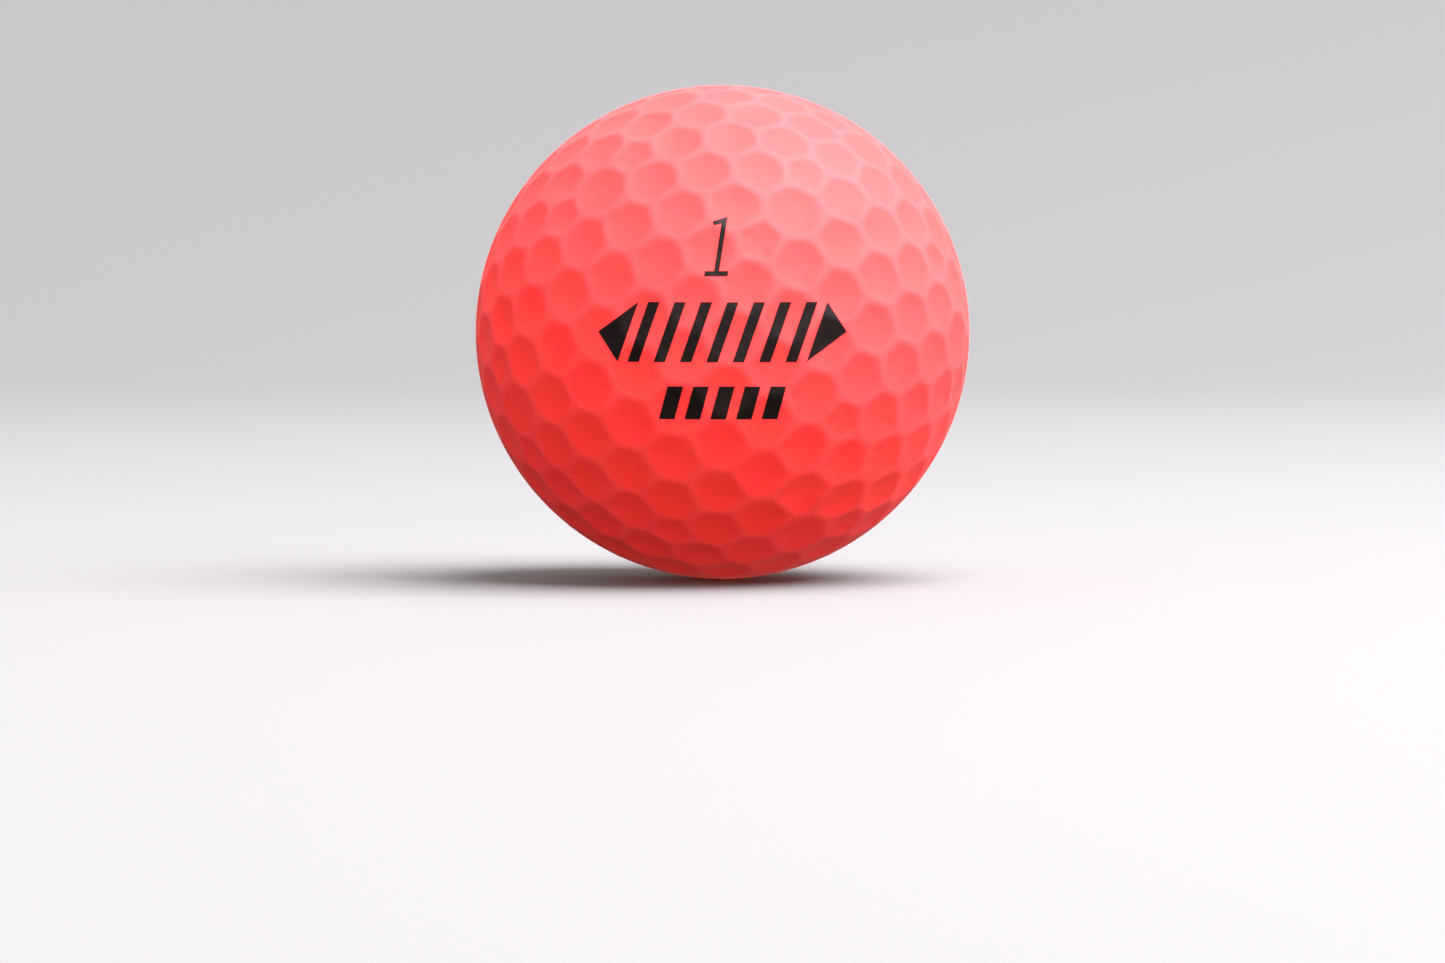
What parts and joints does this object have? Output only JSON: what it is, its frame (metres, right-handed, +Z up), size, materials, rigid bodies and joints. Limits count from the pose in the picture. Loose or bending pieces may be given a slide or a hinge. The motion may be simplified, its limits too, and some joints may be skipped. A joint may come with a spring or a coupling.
{
  "type": "golf ball",
  "caption": "Dimpled golf ball with a moulded cover, an outer core in half shells, a solid inner core and printed alignment marks.",
  "frame": {"origin": "centre of the ball", "axes": "+Z up, +Y from the printed front pole to the printed rear pole, square to the seam plane; +X to the right, seen from the front"},
  "size_m": [0.0426, 0.0426, 0.0426],
  "materials": {
    "cover": "satin coral-pink ionomer cover, faintly translucent, with a soft clear coat",
    "outer_core": "matt light grey polybutadiene rubber",
    "inner_core": "matt blue polybutadiene rubber",
    "ink": "near-black pad-printed ink, satin"
  },
  "bodies": {
    "root": {"cover_front_half": "cover", "cover_rear_half": "cover", "outer_core_front_half": "outer_core", "outer_core_rear_half": "outer_core", "inner_core": "inner_core", "arrow_left_front": "ink", "arrow_left_rear": "ink", "arrow_right_front": "ink", "arrow_right_rear": "ink", "long_row_bar_1_front": "ink", "long_row_bar_1_rear": "ink", "long_row_bar_2_front": "ink", "long_row_bar_2_rear": "ink", "long_row_bar_3_front": "ink", "long_row_bar_3_rear": "ink", "long_row_bar_4_front": "ink", "long_row_bar_4_rear": "ink", "long_row_bar_5_front": "ink", "long_row_bar_5_rear": "ink", "long_row_bar_6_front": "ink", "long_row_bar_6_rear": "ink", "long_row_bar_7_front": "ink", "long_row_bar_7_rear": "ink", "play_number_front": "ink", "play_number_rear": "ink", "short_row_bar_1_front": "ink", "short_row_bar_1_rear": "ink", "short_row_bar_2_front": "ink", "short_row_bar_2_rear": "ink", "short_row_bar_3_front": "ink", "short_row_bar_3_rear": "ink", "short_row_bar_4_front": "ink", "short_row_bar_4_rear": "ink", "short_row_bar_5_front": "ink", "short_row_bar_5_rear": "ink"}
  },
  "joints": []
}
